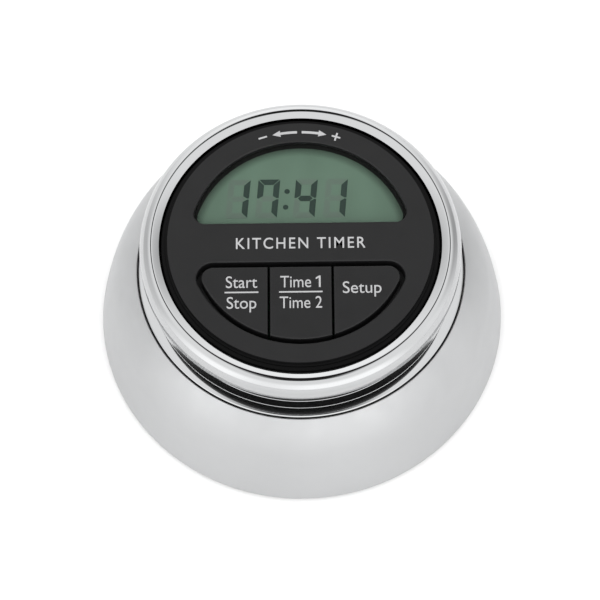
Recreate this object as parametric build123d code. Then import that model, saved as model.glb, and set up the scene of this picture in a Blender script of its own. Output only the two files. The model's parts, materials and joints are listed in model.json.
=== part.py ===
from build123d import *
import math
import os

# Digital kitchen timer: a chrome domed base, a chrome setting ring that turns on it, and a fixed
# round face with a display and three keys.  Millimetres.  +Z is up, the origin is on the axis in
# the plane of the feet, and -Y is the side the user reads it from.

# --- driving dimensions -------------------------------------------------------------------------
BASE_RADIUS = 35.0          # widest radius of the chrome base, just above its lower edge
RIM_BOTTOM = 0.65           # lower edge of the chrome base
RIM_ROUND = 0.35            # rounding of that edge
SIDE_LEAN = 7.6             # degrees the side leans in at the rim
SHOULDER_LEAN = 17.8        # degrees it leans in where the shoulder starts
TOP_LEAN = 48.7             # degrees it leans in where it meets the ring
SIDE_CURVE = 65.7           # radius of the long side arc
SHOULDER_CURVE = 15.6       # radius of the shoulder arc
SHELL_WALL = 1.6
RING_SEAT = 27.85           # bore at the top of the base in which the ring turns
RING_SKIRT = 27.65          # outside of the ring where it enters that bore
RING_GAP = 0.2              # axial play above and below the ring's flange

FACE_TOP = 29.6             # top of the fixed face, the highest point
FACE_RADIUS = 22.25         # flat part of the face
DRUM_RADIUS = 23.35         # outside of the face housing
DRUM_BORE = 21.6
DRUM_BOTTOM = 17.4
FACE_THICKNESS = 2.4

CREST_RADIUS = 25.04        # centre of the rounding along the top of the ring
CREST_HEIGHT = 28.3
CREST_ROUND = 0.9
BEVEL_ANGLE = 20.0          # slope of the bevel inside the crest
BEAD_TURN = 10.0            # slope at which the crest passes into the wider bead outside it
BEAD_ROUND = 2.2
BEAD_STRAIGHT = 1.2         # height of the upright side of the bead below its rounding
BEAD_UNDERCUT = 60.0        # how far the bead curls in underneath, in degrees below its widest line
RING_MOUTH = 23.66          # opening of the ring round the face
RING_BORE = 23.85
NECK_RADIUS = 24.85
NECK_TOP = 23.2
NECK_CORNER = 0.3
LEDGE_RADIUS = 27.37        # low ledge between the neck and the seam
LEDGE_HEIGHT = 19.37
LEDGE_SLOPE = 8.0
STEP_RADIUS = 26.1          # fine step half way out along the ledge
STEP_DROP = 0.08
RING_BOTTOM = 17.4

GEAR_MODULE = 0.8
RING_TEETH = 60
PINION_TEETH = 24
GEAR_BOTTOM = 13.95
FLANGE_RADIUS = 28.35
FLANGE_BOTTOM = 14.9
FLANGE_TOP = 16.1

PLATE_BOTTOM = 0.6          # bottom cover
PLATE_TOP = 2.6
PLATE_RADIUS = 33.1
CHASSIS_BOTTOM = 13.1       # inner frame under the ring gear
CHASSIS_TOP = 13.7
CHASSIS_RADIUS = 29.6

CELL_RADIUS = 5.25          # one AAA cell
CELL_LENGTH = 44.5
CELL_Y = 9.0
CELL_Z = 7.55
BAY_HALF_LENGTH = 24.4
BAY_HALF_WIDTH = 5.4
BAY_WALL = 1.2
CONTACT_THICKNESS = 0.4
DOOR_GAP = 0.15
DOOR_TOP = 1.8
TAB_X = 12.0
TAB_WIDTH = 4.0

WINDOW_RADIUS = 18.7        # display opening: a circle segment above a straight edge
WINDOW_EDGE = 3.35
WINDOW_CORNER = 1.9
EDGE_BEVEL = 0.15
LENS_TOP = 28.75
LENS_BOTTOM = 28.25
PANEL_TOP = 28.1
PANEL_BOTTOM = 25.3

KEY_RADIUS = 18.0           # the three keys together: the mirrored segment
KEY_EDGE = 4.73
KEY_CORNER = 2.0
KEY_SPLIT = 5.3             # half the width of the middle key, to the middle of the gap
KEY_GAP = 0.3
KEY_CLEARANCE = 0.85
KEY_TOP = 29.5
KEY_FLANGE_TOP = 27.1
KEY_FLANGE_BOTTOM = 26.3
SWITCH_TOP = 23.8
PLUNGER_TOP = 24.5
PLUNGER_RADIUS = 1.6
SWITCH_PLACES = [(-10.2, -9.4), (0.0, -10.4), (10.2, -9.4)]

BOARD_BOTTOM = 19.0
BOARD_TOP = 20.2
BOARD_RADIUS = 21.0
LUG_RADIUS = 20.6           # circle of the lugs that hold the drum on the chassis
LUG_SIZE = 2.1
LUG_ANGLES = [90, 205, 335]
BOARD_BOSSES = [(-18.9, -0.8), (0.0, -0.8), (18.9, -0.8)]
BOSS_SIZE = 1.7

SHELL_BOSS_CIRCLE = 30.6    # bosses inside the base for the cover's screws
SHELL_BOSS_SIZE = 2.2
SHELL_BOSS_ANGLES = [60, 120, 215, 325]
PILLARS = [(9.0, 23.5), (-9.0, 23.5), (20.1, -14.1), (-20.1, -14.1)]
FOOT_ANGLES = [48, 132, 240, 300]
FOOT_CIRCLE = 28.5
FOOT_RADIUS = 3.5
FOOT_TOP = 1.1
MAGNETS = [(-26.5, -3.5), (26.5, -3.5), (0.0, -27.8)]
MAGNET_RADIUS = 4.0
BUZZER_CENTRE = (0.0, -12.0)
BUZZER_RADIUS = 10.0
BUZZER_SEAT = 5.0
FIT = 0.02                  # radial play of a screw in its hole

# --- derived ------------------------------------------------------------------------------------
SIDE_CENTRE_R = BASE_RADIUS + 0.03 - SIDE_CURVE * math.cos(math.radians(SIDE_LEAN))
SIDE_CENTRE_Z = RIM_BOTTOM + RIM_ROUND - SIDE_CURVE * math.sin(math.radians(SIDE_LEAN))


def on_arc(centre_r, centre_z, radius, lean):
    """Point on a profile arc where the surface leans in by the given angle."""
    angle = math.radians(lean)
    return (centre_r + radius * math.cos(angle), centre_z + radius * math.sin(angle))


SHOULDER_START = on_arc(SIDE_CENTRE_R, SIDE_CENTRE_Z, SIDE_CURVE, SHOULDER_LEAN)
SHOULDER_CENTRE_R = SHOULDER_START[0] - SHOULDER_CURVE * math.cos(math.radians(SHOULDER_LEAN))
SHOULDER_CENTRE_Z = SHOULDER_START[1] - SHOULDER_CURVE * math.sin(math.radians(SHOULDER_LEAN))
LIP_BOTTOM = FLANGE_TOP + RING_GAP
FACE_BOTTOM = FACE_TOP - FACE_THICKNESS
RING_PITCH = GEAR_MODULE * RING_TEETH / 2
PINION_PITCH = GEAR_MODULE * PINION_TEETH / 2
PINION_Y = -(RING_PITCH - PINION_PITCH)
BAY_LOW_Y = CELL_Y - BAY_HALF_WIDTH
BAY_HIGH_Y = CELL_Y + BAY_HALF_WIDTH


def polar(radius, degrees):
    """X and Y of a point at an angle from +X."""
    angle = math.radians(degrees)
    return (radius * math.cos(angle), radius * math.sin(angle))


def post(x, y, radius, low, high):
    """Upright round post between two heights."""
    return Pos(x, y, low) * Cylinder(radius, high - low, align=(Align.CENTER, Align.CENTER, Align.MIN))


def block(x_low, x_high, y_low, y_high, low, high):
    """Box between two corners."""
    corner = Pos(x_low, y_low, low)
    return corner * Box(x_high - x_low, y_high - y_low, high - low, align=(Align.MIN, Align.MIN, Align.MIN))


def tube(outer, inner, low, high):
    """Round wall about the main axis."""
    return post(0, 0, outer, low, high) - post(0, 0, inner, low - 1, high + 1)


def lathe(edges):
    """Solid of revolution from a closed profile drawn in the XZ plane."""
    return revolve(make_face(edges), Axis.Z)


def rz(point):
    """Profile point, radius then height, in the XZ plane."""
    return (point[0], 0, point[1])


def chain(points):
    """Straight profile edges through the points, in order."""
    return [Line(rz(a), rz(b)) for a, b in zip(points[:-1], points[1:])]


def screw(x, y, head_low, head_high, tip, head_radius, shank_radius):
    """Pan-head screw driven upwards, with a cross slot in its head."""
    solid = post(x, y, head_radius, head_low, head_high) + post(x, y, shank_radius, head_high, tip)
    slot_depth = 0.45 * (head_high - head_low)
    slot_length = head_radius * 0.6
    slot_width = head_radius * 0.14
    for along, across in ((slot_length, slot_width), (slot_width, slot_length)):
        solid -= block(x - along, x + along, y - across, y + across, head_low - 1, head_low + slot_depth)
    return solid


def segment(radius, edge, corner, upper=True):
    """Flat half-moon: the part of a circle beyond a straight edge, with rounded corners."""
    side = 1 if upper else -1
    outline = Circle(radius) & Pos(0, side * (edge + radius)) * Rectangle(4 * radius, 2 * radius)
    return fillet(outline.vertices(), corner)


def raised(sketch, low, high):
    """Sketch extruded between two heights."""
    return extrude(Pos(0, 0, low) * sketch, high - low)


def flared(radius, edge, corner, upper, low, high, growth):
    """Half-moon cut whose walls lean outwards towards the top."""
    bottom = Pos(0, 0, low) * segment(radius, edge, corner, upper)
    top = Pos(0, 0, high) * segment(radius + growth, edge - growth, corner + growth, upper)
    return loft([bottom, top])


# --- chrome base --------------------------------------------------------------------------------
def base_shell():
    rim = on_arc(SIDE_CENTRE_R, SIDE_CENTRE_Z, SIDE_CURVE, SIDE_LEAN)
    side_mid = on_arc(SIDE_CENTRE_R, SIDE_CENTRE_Z, SIDE_CURVE, (SIDE_LEAN + SHOULDER_LEAN) / 2)
    top = on_arc(SHOULDER_CENTRE_R, SHOULDER_CENTRE_Z, SHOULDER_CURVE, TOP_LEAN)
    mid_lean = (SHOULDER_LEAN + TOP_LEAN) / 2
    shoulder_mid = on_arc(SHOULDER_CENTRE_R, SHOULDER_CENTRE_Z, SHOULDER_CURVE, mid_lean)
    inner_side = SIDE_CURVE - SHELL_WALL
    inner_shoulder = SHOULDER_CURVE - SHELL_WALL
    lip_sine = (LIP_BOTTOM - SHOULDER_CENTRE_Z) / inner_shoulder
    lip_lean = math.degrees(math.asin(lip_sine))
    lip = on_arc(SHOULDER_CENTRE_R, SHOULDER_CENTRE_Z, inner_shoulder, lip_lean)
    inner_mid = on_arc(SHOULDER_CENTRE_R, SHOULDER_CENTRE_Z, inner_shoulder, (SHOULDER_LEAN + lip_lean) / 2)
    inner_start = on_arc(SHOULDER_CENTRE_R, SHOULDER_CENTRE_Z, inner_shoulder, SHOULDER_LEAN)
    inner_side_mid = on_arc(SIDE_CENTRE_R, SIDE_CENTRE_Z, inner_side, (SIDE_LEAN + SHOULDER_LEAN) / 2)
    inner_rim = on_arc(SIDE_CENTRE_R, SIDE_CENTRE_Z, inner_side, SIDE_LEAN)
    foot = (rim[0] - RIM_ROUND, RIM_BOTTOM)
    foot_mid = (rim[0] - 0.3 * RIM_ROUND, RIM_BOTTOM + 0.3 * RIM_ROUND)
    edges = [
        ThreePointArc(rz(foot), rz(foot_mid), rz(rim)),
        ThreePointArc(rz(rim), rz(side_mid), rz(SHOULDER_START)),
        ThreePointArc(rz(SHOULDER_START), rz(shoulder_mid), rz(top)),
        *chain([top, (RING_SEAT, top[1] - 0.15), (RING_SEAT, LIP_BOTTOM), lip]),
        ThreePointArc(rz(lip), rz(inner_mid), rz(inner_start)),
        ThreePointArc(rz(inner_start), rz(inner_side_mid), rz(inner_rim)),
        *chain([inner_rim, (inner_rim[0], RIM_BOTTOM), foot]),
    ]
    shell = lathe(edges)
    # ledge that the inner frame is clamped against
    ledge = tube(CHASSIS_RADIUS + 0.9, FLANGE_RADIUS + 0.4, CHASSIS_TOP, CHASSIS_TOP + 0.9)
    inside = tube(BASE_RADIUS, SHELL_BOSS_CIRCLE - SHELL_BOSS_SIZE - 0.01, PLATE_TOP, 12.0)
    shell += ledge
    for angle in SHELL_BOSS_ANGLES:
        x, y = polar(SHELL_BOSS_CIRCLE, angle)
        reach = polar(SHELL_BOSS_CIRCLE + 1.4, angle)
        boss = post(x, y, SHELL_BOSS_SIZE, PLATE_TOP, 12.0)
        web = post(reach[0], reach[1], 1.2, PLATE_TOP, 11.0) & inside
        boss -= post(x, y, 1.0 + FIT, PLATE_TOP - 1, 9.0)
        shell += boss & post(0, 0, 32.3, PLATE_TOP, 12.0)
        shell += web & post(0, 0, 32.3, PLATE_TOP, 11.0) - post(x, y, 1.0 + FIT, PLATE_TOP - 1, 9.0)
    return shell


# --- bottom cover -------------------------------------------------------------------------------
def base_plate():
    plate = post(0, 0, PLATE_RADIUS, PLATE_BOTTOM, PLATE_TOP)
    plate = chamfer(plate.faces().sort_by(Axis.Z)[0].edges(), 0.3)
    outer = BAY_HALF_LENGTH + BAY_WALL
    low, high = BAY_LOW_Y - BAY_WALL, BAY_HIGH_Y + BAY_WALL
    plate += block(-outer, outer, low, high, PLATE_TOP - 0.5, CHASSIS_BOTTOM)
    plate -= block(-BAY_HALF_LENGTH, BAY_HALF_LENGTH, BAY_LOW_Y, BAY_HIGH_Y, DOOR_TOP, CHASSIS_BOTTOM + 1)
    plate -= block(-23.8, 23.8, BAY_LOW_Y, BAY_HIGH_Y, PLATE_BOTTOM - 1, PLATE_TOP)
    # slots for the door's hooks, slits for the contacts' tabs, and the thumb notch
    for side in (-1, 1):
        middle = side * TAB_X
        half = TAB_WIDTH / 2 + 0.3
        plate -= block(middle - half, middle + half, BAY_HIGH_Y - 1, BAY_HIGH_Y + 3, PLATE_TOP, 4.0)
        tab_x = side * (BAY_HALF_LENGTH - CONTACT_THICKNESS / 2)
        plate -= block(tab_x - 0.3, tab_x + 0.3, BAY_LOW_Y - 3, BAY_LOW_Y + 1, 7.9, 10.1)
    plate -= block(-4.2, 4.2, BAY_LOW_Y - 1.7, BAY_LOW_Y + 1, PLATE_BOTTOM - 1, DOOR_TOP + 0.1)
    # ring wall with a ledge that carries the sounder
    x, y = BUZZER_CENTRE
    plate += post(x, y, BUZZER_RADIUS + 1.2, PLATE_TOP, BUZZER_SEAT + 1.0)
    plate -= post(x, y, BUZZER_RADIUS + 0.15, BUZZER_SEAT, BUZZER_SEAT + 2.0)
    plate -= post(x, y, BUZZER_RADIUS - 0.8, PLATE_TOP, BUZZER_SEAT + 1.0)
    sound_holes = [(x, y)]
    for count, ring in ((6, 2.6), (12, 5.2)):
        for index in range(count):
            offset = polar(ring, index * 360 / count)
            sound_holes.append((x + offset[0], y + offset[1]))
    for hole_x, hole_y in sound_holes:
        plate -= post(hole_x, hole_y, 0.7, PLATE_BOTTOM - 1, PLATE_TOP + 1)
    for pillar_x, pillar_y in PILLARS:
        plate += post(pillar_x, pillar_y, 2.3, PLATE_TOP - 0.5, CHASSIS_BOTTOM)
    # cups for the magnets, recesses for the feet, and counterbored screw holes
    for magnet_x, magnet_y in MAGNETS:
        plate += post(magnet_x, magnet_y, MAGNET_RADIUS + 0.8, PLATE_TOP - 0.5, 3.4)
        plate -= post(magnet_x, magnet_y, MAGNET_RADIUS + 0.05, 1.2, 4.0)
    for angle in FOOT_ANGLES:
        foot_x, foot_y = polar(FOOT_CIRCLE, angle)
        plate -= post(foot_x, foot_y, FOOT_RADIUS + 0.05, PLATE_BOTTOM - 1, FOOT_TOP)
    for angle in SHELL_BOSS_ANGLES:
        boss_x, boss_y = polar(SHELL_BOSS_CIRCLE, angle)
        plate -= post(boss_x, boss_y, 2.05, PLATE_BOTTOM - 1, 1.6)
        plate -= post(boss_x, boss_y, 1.0 + FIT, PLATE_BOTTOM, PLATE_TOP + 1)
    return plate


def rubber_feet():
    feet = []
    for angle in FOOT_ANGLES:
        x, y = polar(FOOT_CIRCLE, angle)
        pad = post(x, y, FOOT_RADIUS, 0, FOOT_TOP)
        feet.append(chamfer(pad.faces().sort_by(Axis.Z)[0].edges(), 0.25))
    return Compound(children=feet)


def magnets():
    return Compound(children=[post(x, y, MAGNET_RADIUS, 1.2, 3.2) for x, y in MAGNETS])


def plate_screws():
    places = [polar(SHELL_BOSS_CIRCLE, angle) for angle in SHELL_BOSS_ANGLES]
    return Compound(children=[screw(x, y, 0.75, 1.6, 8.6, 1.9, 1.0) for x, y in places])


def battery_door():
    low_y = BAY_LOW_Y + DOOR_GAP
    high_y = BAY_HIGH_Y - DOOR_GAP
    door = block(-23.65, 23.65, low_y, high_y, PLATE_BOTTOM, DOOR_TOP)
    door += block(-4.0, 4.0, BAY_LOW_Y - 1.5, low_y + 0.5, PLATE_BOTTOM, DOOR_TOP)
    for side in (-1, 1):
        middle = side * TAB_X
        half = TAB_WIDTH / 2
        door += block(middle - half, middle + half, high_y - 1.3, high_y, DOOR_TOP - 0.2, 3.3)
        door += block(middle - half, middle + half, high_y - 1.3, BAY_HIGH_Y + 1.0, 2.7, 3.3)
    # finger ridges by the thumb notch
    for index in range(4):
        ridge_y = low_y + 0.4 + index * 0.9
        door -= block(-5.0, 5.0, ridge_y, ridge_y + 0.4, PLATE_BOTTOM - 1, PLATE_BOTTOM + 0.2)
    return door


def battery_cell():
    body_end = CELL_LENGTH / 2 - 0.9
    can = Cylinder(CELL_RADIUS, body_end + CELL_LENGTH / 2, align=(Align.CENTER, Align.CENTER, Align.MIN))
    can = fillet(can.edges().filter_by(GeomType.CIRCLE), 0.4)
    upright = (Align.CENTER, Align.CENTER, Align.MIN)
    nub = Pos(0, 0, body_end + CELL_LENGTH / 2) * Cylinder(1.9, 0.9, align=upright)
    return Pos(-CELL_LENGTH / 2, CELL_Y, CELL_Z) * Rot(0, 90, 0) * (can + nub)


def contact_leaf(side):
    """Flat contact in one end of the bay, with a tab through the bay's side wall."""
    inner = side * (BAY_HALF_LENGTH - CONTACT_THICKNESS)
    outer = side * BAY_HALF_LENGTH
    low, high = min(inner, outer), max(inner, outer)
    leaf = block(low, high, BAY_LOW_Y + 0.4, BAY_HIGH_Y - 0.4, 3.2, 12.4)
    return leaf + block(low, high, BAY_LOW_Y - 2.6, BAY_LOW_Y + 1, 8.0, 10.0)


def positive_contact():
    inner = BAY_HALF_LENGTH - CONTACT_THICKNESS
    reach = inner - CELL_LENGTH / 2
    cone = Cone(2.8, 1.6, reach, align=(Align.CENTER, Align.CENTER, Align.MIN))
    return contact_leaf(1) + Pos(inner, CELL_Y, CELL_Z) * Rot(0, -90, 0) * cone


def negative_contact():
    inner = BAY_HALF_LENGTH - CONTACT_THICKNESS
    gap = inner - CELL_LENGTH / 2
    wire = 0.3
    turns = 2.5
    path = Helix(pitch=(gap - 2 * wire) / turns, height=gap - 2 * wire, radius=3.2)
    coil = sweep(Plane(origin=path @ 0, z_dir=path % 0) * Circle(wire), path=path, is_frenet=True)
    return Compound(children=[contact_leaf(-1), Pos(-inner + wire, CELL_Y, CELL_Z) * Rot(0, 90, 0) * coil])


# --- inner frame --------------------------------------------------------------------------------
def chassis():
    disc = post(0, 0, CHASSIS_RADIUS, CHASSIS_BOTTOM, CHASSIS_TOP)
    for angle in SHELL_BOSS_ANGLES:
        x, y = polar(SHELL_BOSS_CIRCLE, angle)
        disc -= post(x, y, SHELL_BOSS_SIZE + 0.3, CHASSIS_BOTTOM - 1, CHASSIS_TOP + 1)
    for angle in LUG_ANGLES:
        x, y = polar(LUG_RADIUS, angle)
        disc += post(x, y, LUG_SIZE, CHASSIS_BOTTOM, DRUM_BOTTOM)
        disc -= post(x, y, 0.8 + FIT, CHASSIS_BOTTOM - 1, DRUM_BOTTOM + 1)
    for x, y in WIRE_HOLES:
        disc -= post(x, y, 1.0, CHASSIS_BOTTOM - 1, CHASSIS_TOP + 1)
    return disc


def chassis_screws():
    places = [polar(LUG_RADIUS, angle) for angle in LUG_ANGLES]
    return Compound(children=[screw(x, y, 12.1, CHASSIS_BOTTOM, 19.6, 1.5, 0.8) for x, y in places])


# --- setting ring -------------------------------------------------------------------------------
def dial_ring():
    bead_r = CREST_RADIUS - (BEAD_ROUND - CREST_ROUND) * math.sin(math.radians(BEAD_TURN))
    bead_z = CREST_HEIGHT - (BEAD_ROUND - CREST_ROUND) * math.cos(math.radians(BEAD_TURN))
    bevel_out = on_arc(CREST_RADIUS, CREST_HEIGHT, CREST_ROUND, 90 + BEVEL_ANGLE)
    crest_mid = on_arc(CREST_RADIUS, CREST_HEIGHT, CREST_ROUND, 90)
    crest_out = on_arc(CREST_RADIUS, CREST_HEIGHT, CREST_ROUND, 90 - BEAD_TURN)
    bead_mid = on_arc(bead_r, bead_z, BEAD_ROUND, (90 - BEAD_TURN) / 2)
    bead_side = (bead_r + BEAD_ROUND, bead_z)
    curl_z = bead_z - BEAD_STRAIGHT
    curl_top = (bead_r + BEAD_ROUND, curl_z)
    curl_mid = on_arc(bead_r, curl_z, BEAD_ROUND, -BEAD_UNDERCUT / 2)
    curl_end = on_arc(bead_r, curl_z, BEAD_ROUND, -BEAD_UNDERCUT)
    mouth_z = bevel_out[1] - (bevel_out[0] - RING_MOUTH) * math.tan(math.radians(BEVEL_ANGLE))
    slope = math.tan(math.radians(LEDGE_SLOPE))
    foot_z = LEDGE_HEIGHT + STEP_DROP + (LEDGE_RADIUS - NECK_RADIUS) * slope
    step_z = foot_z - (STEP_RADIUS - NECK_RADIUS) * slope
    corner_in = (NECK_RADIUS, foot_z + NECK_CORNER)
    corner_mid = (NECK_RADIUS + 0.26 * NECK_CORNER, foot_z + 0.26 * NECK_CORNER)
    corner_out = (NECK_RADIUS + NECK_CORNER, foot_z - NECK_CORNER * slope)
    ledge = (LEDGE_RADIUS, LEDGE_HEIGHT)
    edge = RING_SKIRT - LEDGE_RADIUS
    edge_mid = (LEDGE_RADIUS + 0.72 * edge, LEDGE_HEIGHT - 0.3 * edge)
    edge_low = (RING_SKIRT, LEDGE_HEIGHT - edge)
    edges = [
        *chain([(RING_MOUTH, mouth_z), bevel_out]),
        ThreePointArc(rz(bevel_out), rz(crest_mid), rz(crest_out)),
        ThreePointArc(rz(crest_out), rz(bead_mid), rz(bead_side)),
        *chain([bead_side, curl_top]),
        ThreePointArc(rz(curl_top), rz(curl_mid), rz(curl_end)),
        *chain([curl_end, (NECK_RADIUS, NECK_TOP), corner_in]),
        ThreePointArc(rz(corner_in), rz(corner_mid), rz(corner_out)),
        *chain([corner_out, (STEP_RADIUS, step_z), (STEP_RADIUS, step_z - STEP_DROP), ledge]),
        ThreePointArc(rz(ledge), rz(edge_mid), rz(edge_low)),
        *chain([
            edge_low,
            (RING_SKIRT, RING_BOTTOM),
            (RING_BORE, RING_BOTTOM),
            (RING_BORE, mouth_z - 0.8),
            (RING_MOUTH, mouth_z - 0.6),
            (RING_MOUTH, mouth_z),
        ]),
    ]
    ring = lathe(edges)
    for x, y in ring_screw_places():
        ring -= post(x, y, 0.55 + FIT, RING_BOTTOM - 1, 18.9)
    return ring


def ring_screw_places():
    return [polar(26.4, 45 + 90 * index) for index in range(4)]


def gear_tooth(tip, root, tip_half, root_half):
    """Straight-sided tooth on +X, between two radii, with its half widths there."""
    corners = [(tip, -tip_half), (tip, tip_half), (root, root_half), (root, -root_half)]
    return make_face(Polyline(*corners, close=True))


def ring_gear():
    """Internal gear that carries the ring, with the flange that keeps both in the base."""
    root = RING_PITCH + 1.25 * GEAR_MODULE
    tip = RING_PITCH - 0.95 * GEAR_MODULE
    outline = Circle(RING_SKIRT - 0.25) - Circle(root)
    tooth = gear_tooth(tip, root + 0.1, 0.3, 0.72)
    for index in range(RING_TEETH):
        outline += Rot(0, 0, 270 + (index + 0.5) * 360 / RING_TEETH) * tooth
    gear = raised(outline, GEAR_BOTTOM, RING_BOTTOM)
    gear += tube(FLANGE_RADIUS, RING_SKIRT - 0.5, FLANGE_BOTTOM, FLANGE_TOP)
    for x, y in ring_screw_places():
        gear -= post(x, y, 1.05, GEAR_BOTTOM - 1, 14.8)
        gear -= post(x, y, 0.55 + FIT, GEAR_BOTTOM, RING_BOTTOM + 1)
    return gear


def ring_screws():
    return Compound(children=[screw(x, y, 14.1, 14.8, 18.6, 1.0, 0.55) for x, y in ring_screw_places()])


def encoder_gear():
    """Pinion driven by the internal gear; it turns the rotary encoder."""
    root = PINION_PITCH - 1.25 * GEAR_MODULE
    tip = PINION_PITCH + 0.95 * GEAR_MODULE
    outline = Circle(root)
    tooth = gear_tooth(tip, root - 0.2, 0.3, 0.72)
    for index in range(PINION_TEETH):
        outline += Rot(0, 0, 270 + index * 360 / PINION_TEETH) * tooth
    gear = raised(outline, GEAR_BOTTOM, 16.5)
    web = post(0, 0, root - 1.2, 15.3, 17.0) - post(0, 0, 3.2, 15.0, 17.5)
    gear -= web
    gear -= post(0, 0, 2.0 + FIT, GEAR_BOTTOM - 1, 17.5)
    return Pos(0, PINION_Y, 0) * gear


def encoder_shaft():
    return post(0, PINION_Y, 2.0, GEAR_BOTTOM + 0.1, 18.2)


def encoder_body():
    half = 5.5
    body = block(-half, half, PINION_Y - half, PINION_Y + half, 17.0, BOARD_BOTTOM)
    body = chamfer(body.edges().filter_by(Axis.Z), 0.6)
    return body - post(0, PINION_Y, 2.05, 16.0, 18.3)


# --- face ---------------------------------------------------------------------------------------
def face_housing():
    profile = [
        (0, FACE_TOP),
        (FACE_RADIUS, FACE_TOP),
        (FACE_RADIUS + 0.06, FACE_TOP - 0.7),
        (FACE_RADIUS + 0.38, FACE_TOP - 0.75),
        (FACE_RADIUS + 0.44, FACE_TOP - 1.0),
        (FACE_RADIUS + 0.96, FACE_TOP - 1.05),
        (DRUM_RADIUS, FACE_TOP - 1.2),
        (DRUM_RADIUS, DRUM_BOTTOM),
        (DRUM_BORE, DRUM_BOTTOM),
        (DRUM_BORE, FACE_BOTTOM),
        (0, FACE_BOTTOM),
        (0, FACE_TOP),
    ]
    drum = lathe(chain(profile))
    # display opening, with the lens recess behind it
    drum -= raised(segment(WINDOW_RADIUS, WINDOW_EDGE, WINDOW_CORNER), FACE_BOTTOM - 1, FACE_TOP + 1)
    rim = FACE_TOP - EDGE_BEVEL
    drum -= flared(WINDOW_RADIUS, WINDOW_EDGE, WINDOW_CORNER, True, rim, FACE_TOP, EDGE_BEVEL)
    recess = segment(WINDOW_RADIUS + 0.9, WINDOW_EDGE - 0.9, WINDOW_CORNER)
    drum -= raised(recess, FACE_BOTTOM - 1, LENS_TOP)
    # key opening
    opening = KEY_RADIUS + KEY_CLEARANCE
    edge = KEY_EDGE - KEY_CLEARANCE
    corner = KEY_CORNER + KEY_CLEARANCE
    drum -= raised(segment(opening, edge, corner, False), FACE_BOTTOM - 1, FACE_TOP + 1)
    drum -= flared(opening, edge, corner, False, FACE_TOP - EDGE_BEVEL, FACE_TOP, EDGE_BEVEL)
    inside = post(0, 0, DRUM_BORE + 0.3, DRUM_BOTTOM, FACE_BOTTOM + 0.2)
    for angle in LUG_ANGLES:
        x, y = polar(LUG_RADIUS, angle)
        drum += post(x, y, LUG_SIZE, DRUM_BOTTOM, BOARD_TOP) & inside
        drum -= post(x, y, 0.8 + FIT, DRUM_BOTTOM - 1, BOARD_TOP - 0.4)
    for x, y in BOARD_BOSSES:
        drum += post(x, y, BOSS_SIZE, BOARD_TOP, FACE_BOTTOM + 0.2) & inside
        drum -= post(x, y, 0.7 + FIT, BOARD_TOP - 1, 24.0)
    return drum


def lcd_window():
    return raised(segment(WINDOW_RADIUS + 0.8, WINDOW_EDGE - 0.8, WINDOW_CORNER), LENS_BOTTOM, LENS_TOP)


def lcd_panel():
    return raised(segment(WINDOW_RADIUS + 0.4, WINDOW_EDGE - 0.8, WINDOW_CORNER), PANEL_BOTTOM, PANEL_TOP)


def lcd_frame():
    outline = segment(WINDOW_RADIUS + 1.8, WINDOW_EDGE - 2.0, WINDOW_CORNER + 1)
    pocket = segment(WINDOW_RADIUS + 0.5, WINDOW_EDGE - 0.9, WINDOW_CORNER)
    well = segment(WINDOW_RADIUS - 0.8, WINDOW_EDGE + 0.2, WINDOW_CORNER)
    frame = raised(outline, BOARD_TOP, FACE_BOTTOM)
    frame -= raised(pocket, PANEL_BOTTOM, FACE_BOTTOM + 1)
    return frame - raised(well, BOARD_TOP - 1, FACE_BOTTOM + 1)


def zebra_strip():
    return block(-14.0, 14.0, WINDOW_EDGE + 0.6, WINDOW_EDGE + 2.6, BOARD_TOP, PANEL_BOTTOM)


def key_outline(index, growth=0.0):
    """Plan of one key: 0 on the left, 1 in the middle, 2 on the right."""
    group = segment(KEY_RADIUS + growth, KEY_EDGE - growth, KEY_CORNER + growth, False)
    inner = KEY_SPLIT - KEY_GAP / 2
    outer = KEY_SPLIT + KEY_GAP / 2
    spans = [(-30.0, -outer), (-inner, inner), (outer, 30.0)]
    low, high = spans[index]
    return group & Pos((low + high) / 2, -15) * Rectangle(high - low, 40)


def key_cap(index):
    cap = raised(key_outline(index), KEY_FLANGE_BOTTOM, KEY_TOP)
    top_edges = cap.faces().sort_by(Axis.Z)[-1].edges()
    cap = fillet(top_edges, 0.3)
    cap += raised(key_outline(index, KEY_CLEARANCE + 0.5), KEY_FLANGE_BOTTOM, KEY_FLANGE_TOP)
    x, y = SWITCH_PLACES[index]
    return cap + post(x, y, 2.0, PLUNGER_TOP, KEY_FLANGE_BOTTOM + 0.5)


def switch_plunger(index):
    x, y = SWITCH_PLACES[index]
    return post(x, y, PLUNGER_RADIUS, SWITCH_TOP - 1.2, PLUNGER_TOP)


def switch_housings():
    housings = []
    for x, y in SWITCH_PLACES:
        body = block(x - 3, x + 3, y - 3, y + 3, BOARD_TOP, SWITCH_TOP)
        housings.append(body - post(x, y, PLUNGER_RADIUS + 0.08, SWITCH_TOP - 1.8, SWITCH_TOP + 1))
    return Compound(children=housings)


# --- electronics --------------------------------------------------------------------------------
def main_board():
    board = post(0, 0, BOARD_RADIUS, BOARD_BOTTOM, BOARD_TOP)
    for angle in LUG_ANGLES:
        x, y = polar(LUG_RADIUS, angle)
        board -= post(x, y, LUG_SIZE + 0.3, BOARD_BOTTOM - 1, BOARD_TOP + 1)
    for x, y in BOARD_BOSSES:
        board -= post(x, y, 0.7 + FIT, BOARD_BOTTOM - 1, BOARD_TOP + 1)
    return board


def board_screws():
    return Compound(children=[screw(x, y, 18.1, BOARD_BOTTOM, 23.5, 1.3, 0.7) for x, y in BOARD_BOSSES])


def controller_blob():
    drop = Sphere(5.0) & Pos(0, 0, -3.8 - 2.5) * Box(20, 20, 5)
    return Pos(-7.5, 8.0, BOARD_BOTTOM + 3.8) * drop


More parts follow.
